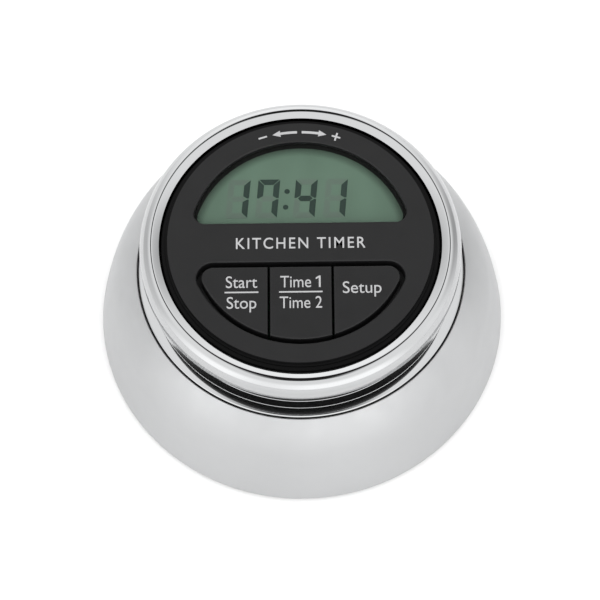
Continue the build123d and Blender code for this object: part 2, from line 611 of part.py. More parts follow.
def clock_crystal():
    can = Pos(7.0, 8.0, BOARD_BOTTOM - 1.05) * Rot(0, 90, 0) * Cylinder(1.0, 6.0)
    lead = Pos(10.5, 8.0, BOARD_BOTTOM - 1.05) * Rot(0, 90, 0) * Cylinder(0.2, 1.2)
    foot = post(11.0, 8.0, 0.2, BOARD_BOTTOM - 1.05, BOARD_BOTTOM)
    return can + lead + foot


def board_capacitors():
    places = [(-1.0, 12.5), (1.5, 12.5), (4.0, 12.5), (-14.0, 3.5), (13.5, 5.0)]
    parts = [block(x - 0.6, x + 0.6, y - 1.0, y + 1.0, BOARD_BOTTOM - 0.8, BOARD_BOTTOM) for x, y in places]
    return Compound(children=parts)


def buzzer_disc():
    x, y = BUZZER_CENTRE
    return post(x, y, BUZZER_RADIUS, BUZZER_SEAT, BUZZER_SEAT + 0.3)


def buzzer_ceramic():
    x, y = BUZZER_CENTRE
    return post(x, y, 7.0, BUZZER_SEAT + 0.3, BUZZER_SEAT + 0.55)


WIRE_RADIUS = 0.5
BATTERY_WIRE_X = 12.0
BATTERY_WIRE_Y = BAY_LOW_Y - 2.0
BUZZER_WIRE_X = 3.0
BUZZER_WIRE_Y = -2.6
WIRE_HOLES = [
    (-BATTERY_WIRE_X, BATTERY_WIRE_Y),
    (BATTERY_WIRE_X, BATTERY_WIRE_Y),
    (-BUZZER_WIRE_X, BUZZER_WIRE_Y),
    (BUZZER_WIRE_X, BUZZER_WIRE_Y),
]


def wire(points, radii):
    """Insulated wire: straight runs joined by arcs."""
    path = FilletPolyline(*points, radius=radii)
    return sweep(Plane(origin=path @ 0, z_dir=path % 0) * Circle(WIRE_RADIUS), path=path)


def battery_wires():
    leads = []
    for side in (-1, 1):
        start = (side * (BAY_HALF_LENGTH - CONTACT_THICKNESS), BATTERY_WIRE_Y, 9.0)
        corner = (side * BATTERY_WIRE_X, BATTERY_WIRE_Y, 9.0)
        end = (side * BATTERY_WIRE_X, BATTERY_WIRE_Y, BOARD_BOTTOM)
        leads.append(wire([start, corner, end], 4.0))
    return Compound(children=leads)


def buzzer_wires():
    routes = [(-BUZZER_WIRE_X, -8.0, BUZZER_SEAT + 0.55, 8.6), (BUZZER_WIRE_X, -4.6, BUZZER_SEAT + 0.3, 8.2)]
    leads = []
    for x, start_y, start_z, bend_z in routes:
        rise = (BUZZER_WIRE_Y - start_y) * 0.8
        points = [
            (x, start_y, start_z),
            (x, start_y, bend_z),
            (x, BUZZER_WIRE_Y, bend_z + rise),
            (x, BUZZER_WIRE_Y, BOARD_BOTTOM),
        ]
        leads.append(wire(points, 1.2))
    return Compound(children=leads)


KEY_NAMES = ["left", "middle", "right"]

nodes = {
    "base_shell": base_shell(),
    "base_plate": base_plate(),
    "rubber_feet": rubber_feet(),
    "magnets": magnets(),
    "plate_screws": plate_screws(),
    "battery_door": battery_door(),
    "battery_cell": battery_cell(),
    "positive_contact": positive_contact(),
    "negative_contact": negative_contact(),
    "chassis": chassis(),
    "chassis_screws": chassis_screws(),
    "dial_ring": dial_ring(),
    "ring_gear": ring_gear(),
    "ring_screws": ring_screws(),
    "encoder_gear": encoder_gear(),
    "encoder_shaft": encoder_shaft(),
    "encoder_body": encoder_body(),
    "face_housing": face_housing(),
    "lcd_window": lcd_window(),
    "lcd_panel": lcd_panel(),
    "lcd_frame": lcd_frame(),
    "zebra_strip": zebra_strip(),
    "switch_housings": switch_housings(),
    "main_board": main_board(),
    "board_screws": board_screws(),
    "controller_blob": controller_blob(),
    "clock_crystal": clock_crystal(),
    "board_capacitors": board_capacitors(),
    "buzzer_disc": buzzer_disc(),
    "buzzer_ceramic": buzzer_ceramic(),
    "battery_wires": battery_wires(),
    "buzzer_wires": buzzer_wires(),
}
for number, name in enumerate(KEY_NAMES):
    nodes[f"key_{name}"] = key_cap(number)
    nodes[f"plunger_{name}"] = switch_plunger(number)

os.makedirs("parts", exist_ok=True)
for name, shape in nodes.items():
    export_step(shape, f"parts/{name}.step")
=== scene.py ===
import json
import math

import bmesh
import bpy
from mathutils import Matrix, Vector


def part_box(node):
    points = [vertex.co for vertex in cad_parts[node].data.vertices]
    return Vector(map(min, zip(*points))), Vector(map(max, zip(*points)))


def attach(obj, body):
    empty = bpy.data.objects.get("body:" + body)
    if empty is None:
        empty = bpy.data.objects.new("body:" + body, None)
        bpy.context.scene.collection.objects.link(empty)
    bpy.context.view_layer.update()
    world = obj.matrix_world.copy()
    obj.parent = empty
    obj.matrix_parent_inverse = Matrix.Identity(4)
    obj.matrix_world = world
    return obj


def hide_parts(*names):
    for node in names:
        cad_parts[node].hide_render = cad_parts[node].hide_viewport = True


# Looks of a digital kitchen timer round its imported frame.  Metres, +Z up, the reader is at -Y.
# Lengths written in millimetres are multiplied by MM where they are used.

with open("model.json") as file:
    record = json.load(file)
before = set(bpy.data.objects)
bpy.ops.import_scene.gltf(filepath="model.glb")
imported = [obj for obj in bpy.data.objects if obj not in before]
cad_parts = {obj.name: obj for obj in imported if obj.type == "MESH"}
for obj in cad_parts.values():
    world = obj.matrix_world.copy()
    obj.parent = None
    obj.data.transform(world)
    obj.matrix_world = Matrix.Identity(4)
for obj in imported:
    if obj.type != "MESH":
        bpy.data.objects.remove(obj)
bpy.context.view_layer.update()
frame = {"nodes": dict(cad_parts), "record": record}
NODES = frame["nodes"]
MM = 0.001

# --- sizes, in millimetres ----------------------------------------------------------------------
AROUND = 360                # facets round a turned piece
FACE_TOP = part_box("face_housing")[1].z / MM
KEY_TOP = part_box("key_left")[1].z / MM
PANEL_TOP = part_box("lcd_panel")[1].z / MM
BASE_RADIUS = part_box("base_shell")[1].x / MM
SHELL_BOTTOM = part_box("base_shell")[0].z / MM
RING_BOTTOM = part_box("dial_ring")[0].z / MM
RING_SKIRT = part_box("dial_ring")[1].x / MM
BORDER_RADIUS = 22.2        # where the face's darker border starts
BORDER_TONE = 0.3
RING_PAINTED_SHADE = (19.83, 25.5) # heights between which the ring is painted near-black under its bead: painted shade in the recess
INK = 0.03                  # thickness of printed marks

# --- studio -------------------------------------------------------------------------------------
CAMERA_ELEVATION = 64.9
CAMERA_AZIMUTH = 0.7
CAMERA_DISTANCE = 0.4749
CAMERA_TARGET = Vector((-0.00028, 0.0, 0.00616))
CAMERA_ROLL = 1.29
CAMERA_LENS = 163.2
SENSOR = 36.0
# brightness of the tent's walls by bearing, in degrees anticlockwise from +X
WALL_LEVELS = [(-180, 1.15), (-172, 1.3), (-153, 1.85), (-132, 2.15), (-112, 1.6), (-90, 1.95), (-68, 2.25),
               (-48, 2.15), (-27, 1.25), (-8, 1.6), (9, 1.2), (25, 0.7), (40, 0.55), (60, 1.35), (90, 1.9),
               (115, 1.6), (140, 0.85), (155, 0.9), (171, 1.05), (180, 1.15)]
ROOF_LEVEL = 1.42
ROOF_START, ROOF_FULL = 35, 60  # heights over which the walls pass into the roof, in degrees
SLOT_FRONT, SLOT_BACK = (-9, -3), (46, 53)  # edges of the dark slot, in degrees from overhead
SLOT_LEFT, SLOT_RIGHT = (-0.24, -0.06), (0.06, 0.22)  # its sides, as the x of a unit direction
SWEEP_HEIGHT = 12           # where the walls stand free of the floor's sweep, in degrees
SWEEP_LEVEL = 1.3           # brightness of the walls' foot, where they curve out of the floor
MATT_BOOST = 1.36           # matt surfaces are lit this much more, so that the floor burns out to white


# --- geometry helpers ---------------------------------------------------------------------------
def arc(centre, radius, start, end, steps):
    """Profile points on an arc; the angles are the surface's tilt from level, in degrees."""
    points = []
    for index in range(steps + 1):
        tilt = math.radians(start + (end - start) * index / steps)
        points.append((centre[0] + radius * math.sin(tilt), centre[1] + radius * math.cos(tilt)))
    return points


def smooth(mesh, angle=28):
    mesh.shade_smooth()
    mesh.set_sharp_from_angle(angle=math.radians(angle))


def new_piece(name, mesh, material, body, replaced=()):
    mesh.materials.clear()
    mesh.materials.append(material)
    piece = bpy.data.objects.new(name, mesh)
    bpy.context.scene.collection.objects.link(piece)
    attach(piece, body)
    if replaced:
        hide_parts(*replaced)
    return piece


def lathe(name, profile):
    """Closed mesh of revolution about Z from a closed profile of (radius, height) in millimetres."""
    count = len(profile)
    verts = []
    faces = []
    for turn in range(AROUND):
        angle = 2 * math.pi * turn / AROUND
        c, s = math.cos(angle), math.sin(angle)
        verts.extend((r * c * MM, r * s * MM, z * MM) for r, z in profile)
    for turn in range(AROUND):
        here = turn * count
        there = ((turn + 1) % AROUND) * count
        for index in range(count):
            after = (index + 1) % count
            faces.append((here + index, there + index, there + after, here + after))
    mesh = bpy.data.meshes.new(name)
    mesh.from_pydata(verts, [], faces)
    tidy(mesh)
    return mesh


def tidy(mesh):
    """Welds double points and turns the faces outwards."""
    work = bmesh.new()
    work.from_mesh(mesh)
    bmesh.ops.remove_doubles(work, verts=work.verts, dist=1e-7)
    bmesh.ops.recalc_face_normals(work, faces=work.faces)
    work.to_mesh(mesh)
    work.free()
    smooth(mesh)


def plate(name, outlines, low, high):
    """Flat solids between two heights from outlines of (x, y), all in millimetres."""
    work = bmesh.new()
    for outline in outlines:
        bottom = [work.verts.new((x * MM, y * MM, low * MM)) for x, y in outline]
        top = [work.verts.new((x * MM, y * MM, high * MM)) for x, y in outline]
        work.faces.new(bottom)
        work.faces.new(top)
        for index in range(len(outline)):
            after = (index + 1) % len(outline)
            work.faces.new((bottom[index], bottom[after], top[after], top[index]))
    bmesh.ops.recalc_face_normals(work, faces=work.faces)
    mesh = bpy.data.meshes.new(name)
    work.to_mesh(mesh)
    work.free()
    return mesh


# --- materials ----------------------------------------------------------------------------------
def gradient(tree, value, low, high, stops):
    """Brightness by bearing: a smooth ramp of greys held at the given places."""
    place = tree.nodes.new("ShaderNodeMapRange")
    place.inputs["From Min"].default_value = low
    place.inputs["From Max"].default_value = high
    tree.links.new(value, place.inputs["Value"])
    node = tree.nodes.new("ShaderNodeValToRGB")
    node.color_ramp.interpolation = "B_SPLINE"
    while len(node.color_ramp.elements) < len(stops):
        node.color_ramp.elements.new(0.5)
    for element, (at, level) in zip(node.color_ramp.elements, stops):
        element.position = (at - low) / (high - low)
        element.color = (level / 2, level / 2, level / 2, 1.0)
    tree.links.new(place.outputs["Result"], node.inputs["Fac"])
    double = tree.nodes.new("ShaderNodeMath")
    double.operation = "MULTIPLY"
    double.inputs[1].default_value = 2.0
    tree.links.new(node.outputs["Color"], double.inputs[0])
    return double.outputs[0]


class Shader:
    """A new node material with one Principled shader, and short calls to feed it."""

    def __init__(self, name, color, roughness, metallic=0.0, **sockets):
        self.material = bpy.data.materials.new(name)
        self.material.use_nodes = True
        self.nodes = self.material.node_tree.nodes
        self.links = self.material.node_tree.links
        self.bsdf = self.nodes["Principled BSDF"]
        self.bsdf.inputs["Base Color"].default_value = (*color, 1.0)
        self.bsdf.inputs["Roughness"].default_value = roughness
        self.bsdf.inputs["Metallic"].default_value = metallic
        for socket, value in sockets.items():
            self.bsdf.inputs[socket.replace("_", " ")].default_value = value
        self.place = self.nodes.new("ShaderNodeTexCoord").outputs["Object"]

    def noise(self, scale, detail=3.0, stretch=(1, 1, 1)):
        mapping = self.nodes.new("ShaderNodeMapping")
        mapping.inputs["Scale"].default_value = stretch
        self.links.new(self.place, mapping.inputs["Vector"])
        texture = self.nodes.new("ShaderNodeTexNoise")
        texture.inputs["Scale"].default_value = scale
        texture.inputs["Detail"].default_value = detail
        self.links.new(mapping.outputs["Vector"], texture.inputs["Vector"])
        return texture.outputs["Fac"]

    def ramp(self, factor, stops):
        node = self.nodes.new("ShaderNodeValToRGB")
        node.color_ramp.elements[0].position = stops[0][0]
        node.color_ramp.elements[0].color = (*stops[0][1], 1.0)
        node.color_ramp.elements[1].position = stops[1][0]
        node.color_ramp.elements[1].color = (*stops[1][1], 1.0)
        self.links.new(factor, node.inputs["Fac"])
        return node.outputs["Color"]

    def spread(self, factor, low, high, socket):
        """Feeds a socket with a texture stretched between two values."""
        node = self.nodes.new("ShaderNodeMapRange")
        node.inputs["From Min"].default_value = 0.3
        node.inputs["From Max"].default_value = 0.7
        node.inputs["To Min"].default_value = low
        node.inputs["To Max"].default_value = high
        self.links.new(factor, node.inputs["Value"])
        self.links.new(node.outputs["Result"], self.bsdf.inputs[socket])

    def bump(self, height, strength, distance):
        node = self.nodes.new("ShaderNodeBump")
        node.inputs["Strength"].default_value = strength
        node.inputs["Distance"].default_value = distance
        self.links.new(height, node.inputs["Height"])
        self.links.new(node.outputs["Normal"], self.bsdf.inputs["Normal"])

    def color(self, output):
        self.links.new(output, self.bsdf.inputs["Base Color"])

    def maths(self, operation, first, second):
        node = self.nodes.new("ShaderNodeMath")
        node.operation = operation
        for index, value in enumerate((first, second)):
            if isinstance(value, (int, float)):
                node.inputs[index].default_value = value
            else:
                self.links.new(value, node.inputs[index])
        return node.outputs[0]

    def axes(self):
        split = self.nodes.new("ShaderNodeSeparateXYZ")
        self.links.new(self.place, split.inputs[0])
        return split.outputs

    def radius(self):
        """Distance from the Z axis in millimetres."""
        x, y, _ = self.axes()
        square = self.maths("ADD", self.maths("MULTIPLY", x, x), self.maths("MULTIPLY", y, y))
        return self.maths("MULTIPLY", self.maths("POWER", square, 0.5), 1 / MM)

    def step(self, value, low, high):
        """0 below low, 1 above high."""
        node = self.nodes.new("ShaderNodeMapRange")
        node.inputs["From Min"].default_value = low
        node.inputs["From Max"].default_value = high
        self.links.new(value, node.inputs["Value"])
        return node.outputs["Result"]

    def tint(self, color, factor):
        """A colour multiplied by a number between 0 and 1."""
        node = self.nodes.new("ShaderNodeVectorMath")
        node.operation = "SCALE"
        self.links.new(color, node.inputs[0])
        self.links.new(factor, node.inputs["Scale"])
        return node.outputs["Vector"]


def shades(color, change):
    return tuple(max(0.0, c * (1 - change)) for c in color), tuple(min(1.0, c * (1 + change)) for c in color)


def plastic(name, color, roughness, grain=0.00025, strength=0.12, change=0.06, gloss=0.5):
    """Moulded plastic with a fine spark-eroded grain and slight unevenness of tone and gloss."""
    shader = Shader(name, color, roughness, Specular_IOR_Level=gloss)
    dark, light = shades(color, change)
    shader.color(shader.ramp(shader.noise(140.0), [(0.3, dark), (0.7, light)]))
    shader.spread(shader.noise(260.0), roughness - 0.04, roughness + 0.05, "Roughness")
    shader.bump(shader.noise(1.0 / grain, 2.0), strength, 0.00002)
    return shader.material


def face_plastic(name, color, roughness):
    """The face's plastic, with a darker and less shiny border outside its flat middle."""
    shader = Shader(name, color, roughness)
    dark, light = shades(color, 0.06)
    border = shader.step(shader.radius(), BORDER_RADIUS, BORDER_RADIUS + 0.12)
    tone = shader.maths("SUBTRACT", 1.0, shader.maths("MULTIPLY", border, 1 - BORDER_TONE))
    shader.links.new(shader.maths("MULTIPLY", tone, FACE_GLOSS), shader.bsdf.inputs["Specular IOR Level"])
    shader.color(shader.tint(shader.ramp(shader.noise(140.0), [(0.3, dark), (0.7, light)]), tone))
    shader.spread(shader.noise(260.0), roughness - 0.04, roughness + 0.05, "Roughness")
    shader.bump(shader.noise(4000.0, 2.0), 0.12, 0.00002)
    return shader.material


def plated(name, color, roughness, painted_shade_band=None):
    """Bright plating, slightly uneven in its polish; between a pair of heights it is painted near-black and
    dull, as painted shade in a recess.
    """
    shader = Shader(name, color, roughness, metallic=1.0)
    dark, light = shades(color, 0.012)
    tone = shader.ramp(shader.noise(90.0), [(0.3, dark), (0.7, light)])
    if painted_shade_band:
        # painted shade: between the two heights the plating gives way to near-black, darkening the recess
        # under the bead
        height = shader.maths("MULTIPLY", shader.axes()[2], 1 / MM)
        above = shader.step(height, painted_shade_band[0], painted_shade_band[0] + 0.04)
        below = shader.step(height, painted_shade_band[1], painted_shade_band[1] + 0.04)
        plating = shader.maths("SUBTRACT", 1.0, shader.maths("SUBTRACT", above, below))
        tone = shader.tint(tone, shader.maths("MAXIMUM", plating, 0.015))
        shader.links.new(plating, shader.bsdf.inputs["Metallic"])
        shader.bsdf.inputs["Specular IOR Level"].default_value = 0.1
    shader.color(tone)
    shader.spread(shader.noise(300.0, 4.0), roughness * 0.8, roughness * 1.3, "Roughness")
    shader.bump(shader.noise(60.0, 1.0), 0.02, 0.00001)
    return shader.material


def spun(name, color, roughness):
    """Satin metal turned on a lathe: fine rings round the Z axis that smear reflections across themselves."""
    shader = Shader(name, color, roughness, metallic=1.0, Anisotropic=0.9, Anisotropic_Rotation=0.25)
    dark, light = shades(color, 0.015)
    shader.color(shader.ramp(shader.noise(90.0), [(0.3, dark), (0.7, light)]))
    shader.spread(shader.noise(300.0, 4.0), roughness * 0.93, roughness * 1.07, "Roughness")
    tangent = shader.nodes.new("ShaderNodeTangent")
    tangent.direction_type = "RADIAL"
    tangent.axis = "Z"
    shader.links.new(tangent.outputs["Tangent"], shader.bsdf.inputs["Tangent"])
    return shader.material


def brushed(name, color, roughness, stretch):
    shader = Shader(name, color, roughness, metallic=1.0)
    dark, light = shades(color, 0.1)
    grain = shader.noise(400.0, 3.0, stretch)
    shader.color(shader.ramp(grain, [(0.3, dark), (0.7, light)]))
    shader.spread(grain, roughness * 0.8, roughness * 1.25, "Roughness")
    shader.bump(grain, 0.15, 0.00001)
    return shader.material


def rubber(name, color):
    shader = Shader(name, color, 0.75)
    dark, light = shades(color, 0.25)
    shader.color(shader.ramp(shader.noise(900.0), [(0.3, dark), (0.7, light)]))
    shader.spread(shader.noise(500.0), 0.68, 0.85, "Roughness")
    shader.bump(shader.noise(2500.0, 2.0), 0.3, 0.00003)
    return shader.material


def window():
    shader = Shader("clear_window", (0.04, 0.045, 0.04), 0.08, Alpha=0.06)
    shader.spread(shader.noise(200.0), 0.06, 0.1, "Roughness")
    shader.material.surface_render_method = "BLENDED"
    return shader.material


def display():
    """Reflective display: a green-grey field, slightly uneven, with painted shade darkening it under the edge
    of the window.
    """
    color = (0.092, 0.149, 0.109)
    shader = Shader("display_field", color, 0.42, Specular_IOR_Level=0.2)
    dark, light = shades(color, 0.07)
    field = shader.ramp(shader.noise(110.0, 2.0, (1.0, 0.35, 1.0)), [(0.35, dark), (0.65, light)])
    # painted shade: the field darkens towards the edge of the window
    shade = shader.maths("MULTIPLY", shader.step(shader.radius(), 16.7, 18.3), 0.6)
    shader.color(shader.tint(field, shader.maths("SUBTRACT", 1.0, shade)))
    shader.spread(shader.noise(300.0), 0.38, 0.48, "Roughness")
    shader.bump(shader.noise(5000.0, 1.0), 0.04, 0.00001)
    return shader.material


def board():
    color = (0.02, 0.10, 0.04)
    shader = Shader("board_laminate", color, 0.4)
    dark, light = shades(color, 0.4)
    shader.color(shader.ramp(shader.noise(380.0, 0.0, (1.0, 0.3, 1.0)), [(0.48, dark), (0.52, light)]))
    shader.spread(shader.noise(600.0), 0.32, 0.5, "Roughness")
    shader.bump(shader.noise(380.0, 0.0, (1.0, 0.3, 1.0)), 0.2, 0.00003)
    return shader.material


FACE_GREY = (0.0068, 0.0068, 0.0072)
FACE_GLOSS = 0.3
CHROME = (0.47, 0.475, 0.48)
MATERIALS = {
    "chrome": plated("chrome", CHROME, 0.05),
    "face_plastic": face_plastic("face_plastic", FACE_GREY, 0.5),
    "key_plastic": plastic("key_plastic", FACE_GREY, 0.47, gloss=FACE_GLOSS),
    "cover_plastic": plastic("cover_plastic", (0.022, 0.022, 0.023), 0.5, strength=0.3),
    "frame_plastic": plastic("frame_plastic", (0.05, 0.05, 0.054), 0.5),
    "gear_plastic": plastic("gear_plastic", (0.62, 0.60, 0.54), 0.38, strength=0.05),
    "foot_rubber": rubber("foot_rubber", (0.02, 0.02, 0.02)),
    "magnet_steel": brushed("magnet_steel", (0.55, 0.55, 0.56), 0.3, (1.0, 1.0, 0.2)),
    "screw_steel": brushed("screw_steel", (0.42, 0.42, 0.43), 0.34, (1.0, 1.0, 0.2)),
    "contact_steel": brushed("contact_steel", (0.70, 0.68, 0.63), 0.26, (0.2, 1.0, 1.0)),
    "cell_sleeve": plastic("cell_sleeve", (0.03, 0.10, 0.20), 0.25, strength=0.02, change=0.12),
    "clear_window": window(),
    "display_glass": display(),
    "zebra_rubber": rubber("zebra_rubber", (0.16, 0.05, 0.17)),
    "board_laminate": board(),
    "epoxy": plastic("epoxy", (0.012, 0.012, 0.012), 0.2, strength=0.05, change=0.2),
    "component": plastic("component", (0.42, 0.33, 0.2), 0.55, change=0.2),
    "brass": brushed("brass", (0.72, 0.55, 0.25), 0.3, (1.0, 0.15, 1.0)),
    "ceramic": plastic("ceramic", (0.80, 0.78, 0.70), 0.5, strength=0.2, change=0.05),
    "switch_plastic": plastic("switch_plastic", (0.03, 0.03, 0.03), 0.42),
    "wire_sleeve": plastic("wire_sleeve", (0.28, 0.02, 0.02), 0.4, strength=0.05, change=0.15),
}
BASE_METAL = spun("base_metal", (0.495, 0.5, 0.505), 0.38)
RING_CHROME = plated("ring_chrome", CHROME, 0.05, RING_PAINTED_SHADE)
INK_GREY = plastic("print_ink", (0.34, 0.34, 0.345), 0.6, change=0.04)
SEGMENT_INK = plastic("segment_ink", (0.018, 0.034, 0.027), 0.45, change=0.08, gloss=0.2)
# near-black ink for the painted shade round the display
SHADE_BAND_INK = plastic("shade_band_ink", (0.004, 0.004, 0.004), 0.6, change=0.05, gloss=0.1)
GHOST_INK = plastic("ghost_ink", (0.092, 0.130, 0.104), 0.42, change=0.03, gloss=0.2)


def dress_nodes():
    """Gives every CAD node the material of its slot."""
    for row in frame["record"]["subparts"]:
        mesh = NODES[row["node"]].data
        mesh.materials.clear()
        mesh.materials.append(MATERIALS[row["material_slot"]])


# --- chrome pieces ------------------------------------------------------------------------------
def chrome_base():
    """The domed base: a long shallow side arc that rolls over into a shoulder, down to a thin wall."""
    side_radius, shoulder_radius, wall = 65.7, 15.6, 1.6
    rim_lean, shoulder_lean = 7.6, 17.8
    rim_round, edge_round, seat = 0.35, 0.15, 27.85
    side = (BASE_RADIUS - side_radius * math.cos(math.radians(rim_lean)),
            SHELL_BOTTOM + rim_round - side_radius * math.sin(math.radians(rim_lean)))
    start = (side[0] + side_radius * math.cos(math.radians(shoulder_lean)),
             side[1] + side_radius * math.sin(math.radians(shoulder_lean)))
    shoulder = (start[0] - shoulder_radius * math.cos(math.radians(shoulder_lean)),
                start[1] - shoulder_radius * math.sin(math.radians(shoulder_lean)))
    outer = arc((BASE_RADIUS - rim_round, SHELL_BOTTOM + rim_round), rim_round, 180, 90 - rim_lean + 4, 6)
    outer += arc(side, side_radius, 90 - rim_lean, 90 - shoulder_lean, 40)
    reach = shoulder_radius - edge_round
    turn = math.asin((seat + edge_round - shoulder[0]) / reach)
    edge = (seat + edge_round, shoulder[1] + reach * math.cos(turn))
    outer += arc(shoulder, shoulder_radius, 90 - shoulder_lean, math.degrees(turn), 48)[1:]
    outer += arc(edge, edge_round, math.degrees(turn), -90, 8)[1:]
    inner = [(seat, 16.3)]
    inner += arc(shoulder, shoulder_radius - wall, 52, 90 - shoulder_lean, 20)
    inner += arc(side, side_radius - wall, 90 - shoulder_lean, 90 - rim_lean, 20)[1:]
    inner.append((inner[-1][0], SHELL_BOTTOM))
    return lathe("chrome_base", outer + inner)


def chrome_ring():
    """The setting ring: bevelled mouth, crest, wide bead, neck and a low ledge with a fine step."""
    bevel, bead_turn, undercut = 20.0, 10.0, 150.0
    crest, crest_round = (25.04, 28.3), 0.9
    bead_round, straight = 2.2, 1.2
    bead = (crest[0] - (bead_round - crest_round) * math.sin(math.radians(bead_turn)),
            crest[1] - (bead_round - crest_round) * math.cos(math.radians(bead_turn)))
    mouth, bore = 23.66, 23.85
    neck, neck_top, corner = 24.85, 23.2, 0.3
    ledge, ledge_slope = (27.37, 19.37), 8.0
    step, step_drop = 26.1, 0.08
    slope = math.tan(math.radians(ledge_slope))
    foot = ledge[1] + step_drop + (ledge[0] - neck) * slope
    edge_round = RING_SKIRT - ledge[0]
    profile = arc(crest, crest_round, -bevel, bead_turn, 20)
    profile += arc(bead, bead_round, bead_turn, 90, 40)[1:]
    profile += arc((bead[0], bead[1] - straight), bead_round, 90, undercut, 30)
    profile += [(neck + 0.1, neck_top + 0.2), (neck, neck_top - 0.1)]
    profile += [(neck, neck_top - (neck_top - foot - corner) * share / 5) for share in range(1, 5)]
    profile += [(neck + corner * (1 - math.cos(a)), foot + corner * (1 - math.sin(a)) - 0.02)
                for a in (math.radians(15 * i) for i in range(0, 6))]
    step_z = foot - (step - neck) * slope
    profile += [(step - 0.02, step_z), (step + 0.03, step_z - step_drop)]
    profile += arc((ledge[0], ledge[1] - edge_round), edge_round, ledge_slope, 90, 10)
    profile += [(RING_SKIRT, RING_BOTTOM), (bore, RING_BOTTOM)]
    inner = (crest[0] - crest_round * math.sin(math.radians(bevel)),
             crest[1] + crest_round * math.cos(math.radians(bevel)))
    top = inner[1] - (inner[0] - mouth - 0.06) * math.tan(math.radians(bevel))
    profile += [(bore, top - 0.8), (mouth, top - 0.6), (mouth, top - 0.08), (mouth + 0.02, top - 0.02)]
    profile.append((mouth + 0.06, top))
    return lathe("chrome_ring", profile)


# --- printed marks ------------------------------------------------------------------------------
def cap_height():
    """Height of a capital in the built-in font at size 1."""
    curve = bpy.data.curves.new("measure", "FONT")
    curve.body = "H"
    sample = bpy.data.objects.new("measure", curve)
    bpy.context.scene.collection.objects.link(sample)
    bpy.context.view_layer.update()
    height = sample.dimensions.y
    bpy.data.objects.remove(sample)
    return height


def lettering(name, words, middle, base, width, capital, top, body, weight=0.0, spacing=1.0):
    """A word centred on middle with its baseline at base; sizes in millimetres."""
    curve = bpy.data.curves.new(name, "FONT")
    curve.body = words
    curve.align_x = "CENTER"
    curve.space_character = spacing
    curve.offset = weight
    curve.extrude = 0.5
    curve.resolution_u = 6
    text = bpy.data.objects.new(name, curve)
    bpy.context.scene.collection.objects.link(text)
    bpy.context.view_layer.update()
    mesh = bpy.data.meshes.new_from_object(text.evaluated_get(bpy.context.evaluated_depsgraph_get()))
    bpy.data.objects.remove(text)
    low = min(v.co.x for v in mesh.vertices)
    high = max(v.co.x for v in mesh.vertices)
    stretch = width / (high - low)
    grow = capital / CAPITAL
    scale = Matrix.Diagonal((stretch * MM, grow * MM, INK * MM, 1.0))
    shift = Matrix.Translation(((middle - (low + high) / 2 * stretch) * MM, base * MM, (top + INK / 2) * MM))
    mesh.transform(shift @ scale)
    mesh.name = name
    return new_piece(name, mesh, INK_GREY, body)


CAPITAL = cap_height()


def bar(x_low, x_high, y_low, y_high):
    return [(x_low, y_low), (x_high, y_low), (x_high, y_high), (x_low, y_high)]


def curved_arrow(start, end, radius, thickness, head_length, head_width):
    """Outline of an arrow bent round the face; angles in degrees clockwise from +Y, tip at end."""
    way = 1 if end > start else -1
    neck = end - way * math.degrees(head_length / radius)
    steps = 8

    def spot(distance, degrees):
        angle = math.radians(degrees)
        return (distance * math.sin(angle), distance * math.cos(angle))

    outline = [spot(radius + thickness / 2, start + (neck - start) * i / steps) for i in range(steps + 1)]
    outline += [spot(radius + head_width / 2, neck), spot(radius, end), spot(radius - head_width / 2, neck)]
    outline += [spot(radius - thickness / 2, neck + (start - neck) * i / steps) for i in range(steps + 1)]
    return outline


def turned(outline, radius, degrees):
    """An outline drawn about the origin, moved out along +Y and turned clockwise round the face."""
    angle = math.radians(-degrees)
    c, s = math.cos(angle), math.sin(angle)
    return [(x * c - (y + radius) * s, x * s + (y + radius) * c) for x, y in outline]


def face_marks():
    radius = 20.5
    sign_angle = 17.65
    half = 0.75
    stroke = 0.15
    outlines = [
        curved_arrow(-1.1, -12.9, radius, 0.45, 1.35, 1.2),
        curved_arrow(1.1, 12.9, radius, 0.45, 1.35, 1.2),
        turned(bar(-half, half, -stroke, stroke), radius, -sign_angle),
        turned(bar(-half, half, -stroke, stroke), radius, sign_angle),
        turned(bar(-stroke, stroke, stroke, half), radius, sign_angle),
        turned(bar(-stroke, stroke, -half, -stroke), radius, sign_angle),
    ]
    mesh = plate("direction_marks", outlines, FACE_TOP, FACE_TOP + INK)
    new_piece("direction_marks", mesh, INK_GREY, "housing")
    lettering("face_lettering", "KITCHEN TIMER", 0.05, -1.46, 21.6, 1.98, FACE_TOP, "housing", 0.006, 1.22)


def key_marks():
    words = [
        ("start_word", "Start", -9.81, -8.6, 5.2, "left_key"),
        ("stop_word", "Stop", -9.81, -12.38, 4.9, "left_key"),
        ("time_one_word", "Time", -0.83, -8.6, 5.1, "middle_key"),
        ("time_two_word", "Time 2", 0.0, -12.38, 7.0, "middle_key"),
        ("setup_word", "Setup", 10.15, -9.75, 6.4, "right_key"),
    ]
    for name, text, middle, base, width, body in words:
        lettering(name, text, middle, base, width, 2.1, KEY_TOP, body)
    stem, base = 3.0, -8.6
    one = [(stem, base), (stem + 0.3, base), (stem + 0.3, base + 2.1), (stem + 0.05, base + 2.1),
           (stem - 0.5, base + 1.75), (stem - 0.5, base + 1.45), (stem, base + 1.72)]
    shapes = [
        ("left_rule", bar(-12.61, -7.01, -9.56, -9.3), "left_key"),
        ("middle_rule", bar(-3.6, 3.6, -9.56, -9.3), "middle_key"),
        ("time_one_figure", one, "middle_key"),
    ]
    for name, outline, body in shapes:
        mesh = plate(name, [outline], KEY_TOP, KEY_TOP + INK)
        new_piece(name, mesh, INK_GREY, body)


# --- display ------------------------------------------------------------------------------------
WINDOW_RADIUS, WINDOW_EDGE = 18.7, 3.35
SHADE_BAND_WIDTH = 0.55           # width of the near-black band round the display: painted shade where the window's wall shades it
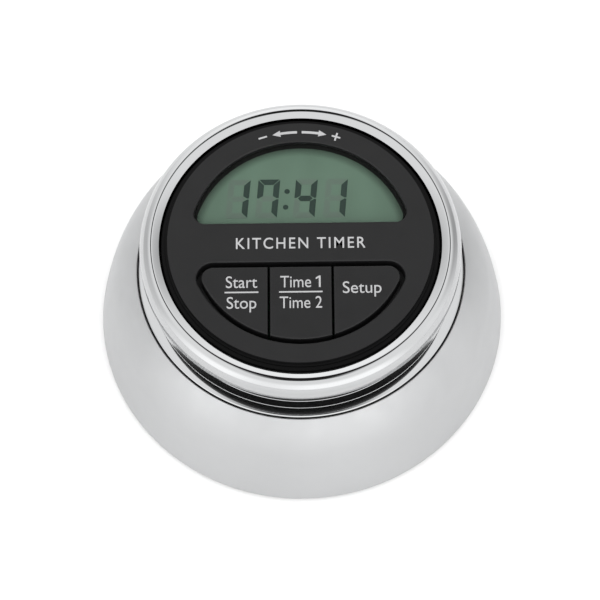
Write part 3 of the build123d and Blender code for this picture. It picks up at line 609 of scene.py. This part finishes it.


def half_moon(radius, edge, corner):
    """Outline of the part of a circle above a straight edge, with rounded corners."""
    y = edge + corner
    x = math.sqrt((radius - corner) ** 2 - y * y)
    lean = math.degrees(math.atan2(y, x))
    turns = [-90 + (lean + 90) * i / 12 for i in range(13)]
    right = [(x + corner * math.cos(math.radians(t)), y + corner * math.sin(math.radians(t))) for t in turns]
    sweep = [lean + (180 - 2 * lean) * i / 96 for i in range(1, 96)]
    over = [(radius * math.cos(math.radians(t)), radius * math.sin(math.radians(t))) for t in sweep]
    return right + over + [(-px, py) for px, py in reversed(right)]


def band(name, outer, inner, low, high):
    """Flat frame between two outlines with the same number of points."""
    count = len(outer)
    verts = []
    for outline, z in ((outer, low), (outer, high), (inner, high), (inner, low)):
        verts.extend((x * MM, y * MM, z * MM) for x, y in outline)
    faces = []
    for ring in range(4):
        here, there = ring * count, ((ring + 1) % 4) * count
        for index in range(count):
            after = (index + 1) % count
            faces.append((here + index, here + after, there + after, there + index))
    mesh = bpy.data.meshes.new(name)
    mesh.from_pydata(verts, [], faces)
    tidy(mesh)
    return mesh


def display_shade_band():
    # painted shade: a near-black band laid on the display round its edge, under the window's wall
    outer = half_moon(WINDOW_RADIUS + 0.35, WINDOW_EDGE - 0.35, 1.9)
    inner = half_moon(WINDOW_RADIUS - SHADE_BAND_WIDTH, WINDOW_EDGE + 0.2, 1.6)
    mesh = band("display_shade_band", outer, inner, PANEL_TOP + 0.04, PANEL_TOP + 0.07)
    new_piece("display_shade_band", mesh, SHADE_BAND_INK, "housing")


DIGIT_WIDTH = 3.68
DIGIT_HEIGHT = 7.3
STROKE = 1.02
SLIT = 0.09
SLANT = math.tan(math.radians(5.0))
SEGMENTS = {"1": "bc", "7": "fabc", "4": "fgbc", "8": "abcdefg"}


def segment_outline(letter):
    """One bar of a seven-bar digit, upright, lower left corner at the origin."""
    w, h, t, s = DIGIT_WIDTH, DIGIT_HEIGHT, STROKE, SLIT
    m = h / 2
    half = t / 2
    shapes = {
        "a": [(s * 1.5, h), (w - s * 1.5, h), (w - t - s * 0.5, h - t), (t + s * 0.5, h - t)],
        "d": [(s * 1.5, 0), (t + s * 0.5, t), (w - t - s * 0.5, t), (w - s * 1.5, 0)],
        "g": [(half + s, m), (t + s * 0.6, m + half), (w - t - s * 0.6, m + half),
              (w - half - s, m), (w - t - s * 0.6, m - half), (t + s * 0.6, m - half)],
        "f": [(0, h - s), (t, h - t - s), (t, m + half + s * 0.4), (half * 0.6, m + s), (0, m + s * 1.6)],
        "e": [(0, s), (0, m - s * 1.6), (half * 0.6, m - s), (t, m - half - s * 0.4), (t, t + s)],
        "b": [(w, h - s), (w, m + s * 1.6), (w - half * 0.6, m + s),
              (w - t, m + half + s * 0.4), (w - t, h - t - s)],
        "c": [(w, s), (w - t, t + s), (w - t, m - half - s * 0.4), (w - half * 0.6, m - s), (w, m - s * 1.6)],
    }
    return shapes[letter]


def digit(shape, right, base):
    """Outlines of the lit bars of a digit whose top right corner is at right."""
    left = right - DIGIT_WIDTH - DIGIT_HEIGHT * SLANT
    return [[(left + x + y * SLANT, base + y) for x, y in segment_outline(letter)] for letter in shape]


def dot(x, y, radius):
    turns = [math.pi * i / 12 for i in range(24)]
    return [(x + radius * math.cos(turn), y + radius * math.sin(turn)) for turn in turns]


def display_marks():
    base = 4.97
    rights = [-8.29, -3.29, 3.05, 8.15]
    lit = []
    unlit = []
    for right, shown in zip(rights, "1741"):
        lit += digit(SEGMENTS[shown], right, base)
        unlit += digit([bar_ for bar_ in SEGMENTS["8"] if bar_ not in SEGMENTS[shown]], right, base)
    lit += [dot(-2.17, base + 5.0, 0.46), dot(-2.43, base + 2.03, 0.46)]
    mesh = plate("lit_segments", lit, PANEL_TOP, PANEL_TOP + INK)
    new_piece("lit_segments", mesh, SEGMENT_INK, "housing")
    mesh = plate("unlit_segments", unlit, PANEL_TOP, PANEL_TOP + INK / 2)
    new_piece("unlit_segments", mesh, GHOST_INK, "housing")


# --- floor, light and camera --------------------------------------------------------------------
def floor():
    mesh = bpy.data.meshes.new("floor")
    half = 3.0
    corners = [(-half, -half, 0), (half, -half, 0), (half, half, 0), (-half, half, 0)]
    mesh.from_pydata(corners, [], [(0, 1, 2, 3)])
    shader = Shader("floor_paper", (0.8, 0.8, 0.8), 0.9)
    shader.color(shader.ramp(shader.noise(30.0), [(0.3, (0.79, 0.79, 0.79)), (0.7, (0.81, 0.81, 0.81))]))
    mesh.materials.append(shader.material)
    paper = bpy.data.objects.new("floor", mesh)
    bpy.context.scene.collection.objects.link(paper)


def studio():
    """A white tent: walls of uneven brightness and a brighter roof with a dark slot from front to back."""
    world = bpy.data.worlds.new("studio")
    bpy.context.scene.world = world
    world.use_nodes = True
    nodes = world.node_tree.nodes
    links = world.node_tree.links
    nodes.clear()

    def maths(operation, first, second=None, clamp=False):
        node = nodes.new("ShaderNodeMath")
        node.operation = operation
        node.use_clamp = clamp
        for index, value in enumerate((first, second)):
            if value is None:
                continue
            if isinstance(value, (int, float)):
                node.inputs[index].default_value = value
            else:
                links.new(value, node.inputs[index])
        return node.outputs[0]

    def rise(value, low, high):
        """0 below low, 1 above high, smooth between."""
        node = nodes.new("ShaderNodeMapRange")
        node.interpolation_type = "SMOOTHSTEP"
        node.inputs["From Min"].default_value = low
        node.inputs["From Max"].default_value = high
        links.new(value, node.inputs["Value"])
        return node.outputs["Result"]

    direction = nodes.new("ShaderNodeTexCoord").outputs["Generated"]
    split = nodes.new("ShaderNodeSeparateXYZ")
    links.new(direction, split.inputs[0])
    x, y, z = split.outputs
    bearing = maths("MULTIPLY", maths("ARCTAN2", y, x), 180 / math.pi)
    height = maths("MULTIPLY", maths("ARCSINE", z), 180 / math.pi)
    walls = gradient(world.node_tree, bearing, -180, 180, WALL_LEVELS)
    upright = maths("MULTIPLY", maths("SUBTRACT", walls, SWEEP_LEVEL), rise(height, 0, SWEEP_HEIGHT))
    walls = maths("ADD", upright, SWEEP_LEVEL)
    roof = rise(height, ROOF_START, ROOF_FULL)
    low_part = maths("MULTIPLY", walls, maths("SUBTRACT", 1.0, roof))
    level = maths("ADD", low_part, maths("MULTIPLY", roof, ROOF_LEVEL))
    # the dark slot overhead, between the two roof panels
    swing = maths("MULTIPLY", maths("ARCTAN2", y, z), 180 / math.pi)
    front = rise(swing, *SLOT_FRONT)
    back = maths("SUBTRACT", 1.0, rise(swing, *SLOT_BACK))
    left = rise(x, *SLOT_LEFT)
    right = maths("SUBTRACT", 1.0, rise(x, *SLOT_RIGHT))
    slot = maths("MULTIPLY", maths("MULTIPLY", front, back), maths("MULTIPLY", left, right))
    glow = maths("MULTIPLY", level, maths("SUBTRACT", 1.0, maths("MULTIPLY", slot, 0.98)))
    lit = nodes.new("ShaderNodeBackground")
    seen = nodes.new("ShaderNodeBackground")
    for background in (lit, seen):
        background.inputs["Color"].default_value = (1.0, 1.0, 1.0, 1.0)
    seen.inputs["Strength"].default_value = 1.0
    path = nodes.new("ShaderNodeLightPath")
    matt = maths("ADD", 1.0, maths("MULTIPLY", path.outputs["Is Diffuse Ray"], MATT_BOOST - 1.0))
    links.new(maths("MULTIPLY", glow, matt), lit.inputs["Strength"])
    mix = nodes.new("ShaderNodeMixShader")
    links.new(path.outputs["Is Camera Ray"], mix.inputs["Fac"])
    links.new(lit.outputs[0], mix.inputs[1])
    links.new(seen.outputs[0], mix.inputs[2])
    output = nodes.new("ShaderNodeOutputWorld")
    links.new(mix.outputs[0], output.inputs["Surface"])


def camera():
    data = bpy.data.cameras.new("camera")
    data.lens = CAMERA_LENS
    data.sensor_width = SENSOR
    data.clip_start = 0.01
    data.clip_end = 20.0
    view = bpy.data.objects.new("camera", data)
    bpy.context.scene.collection.objects.link(view)
    turn = Matrix.Rotation(math.radians(CAMERA_AZIMUTH), 4, "Z")
    tilt = Matrix.Rotation(math.radians(90 - CAMERA_ELEVATION), 4, "X")
    roll = Matrix.Rotation(math.radians(-CAMERA_ROLL), 4, "Z")
    move = Matrix.Translation((0, 0, CAMERA_DISTANCE))
    view.matrix_world = Matrix.Translation(CAMERA_TARGET) @ turn @ tilt @ move @ roll
    bpy.context.scene.camera = view


def build():
    dress_nodes()
    new_piece("chrome_base", chrome_base(), BASE_METAL, "housing", ["base_shell"])
    new_piece("chrome_ring", chrome_ring(), RING_CHROME, "dial", ["dial_ring"])
    face_marks()
    key_marks()
    display_shade_band()
    display_marks()
    floor()
    studio()
    camera()
    bpy.context.scene.view_settings.view_transform = "Standard"


build()
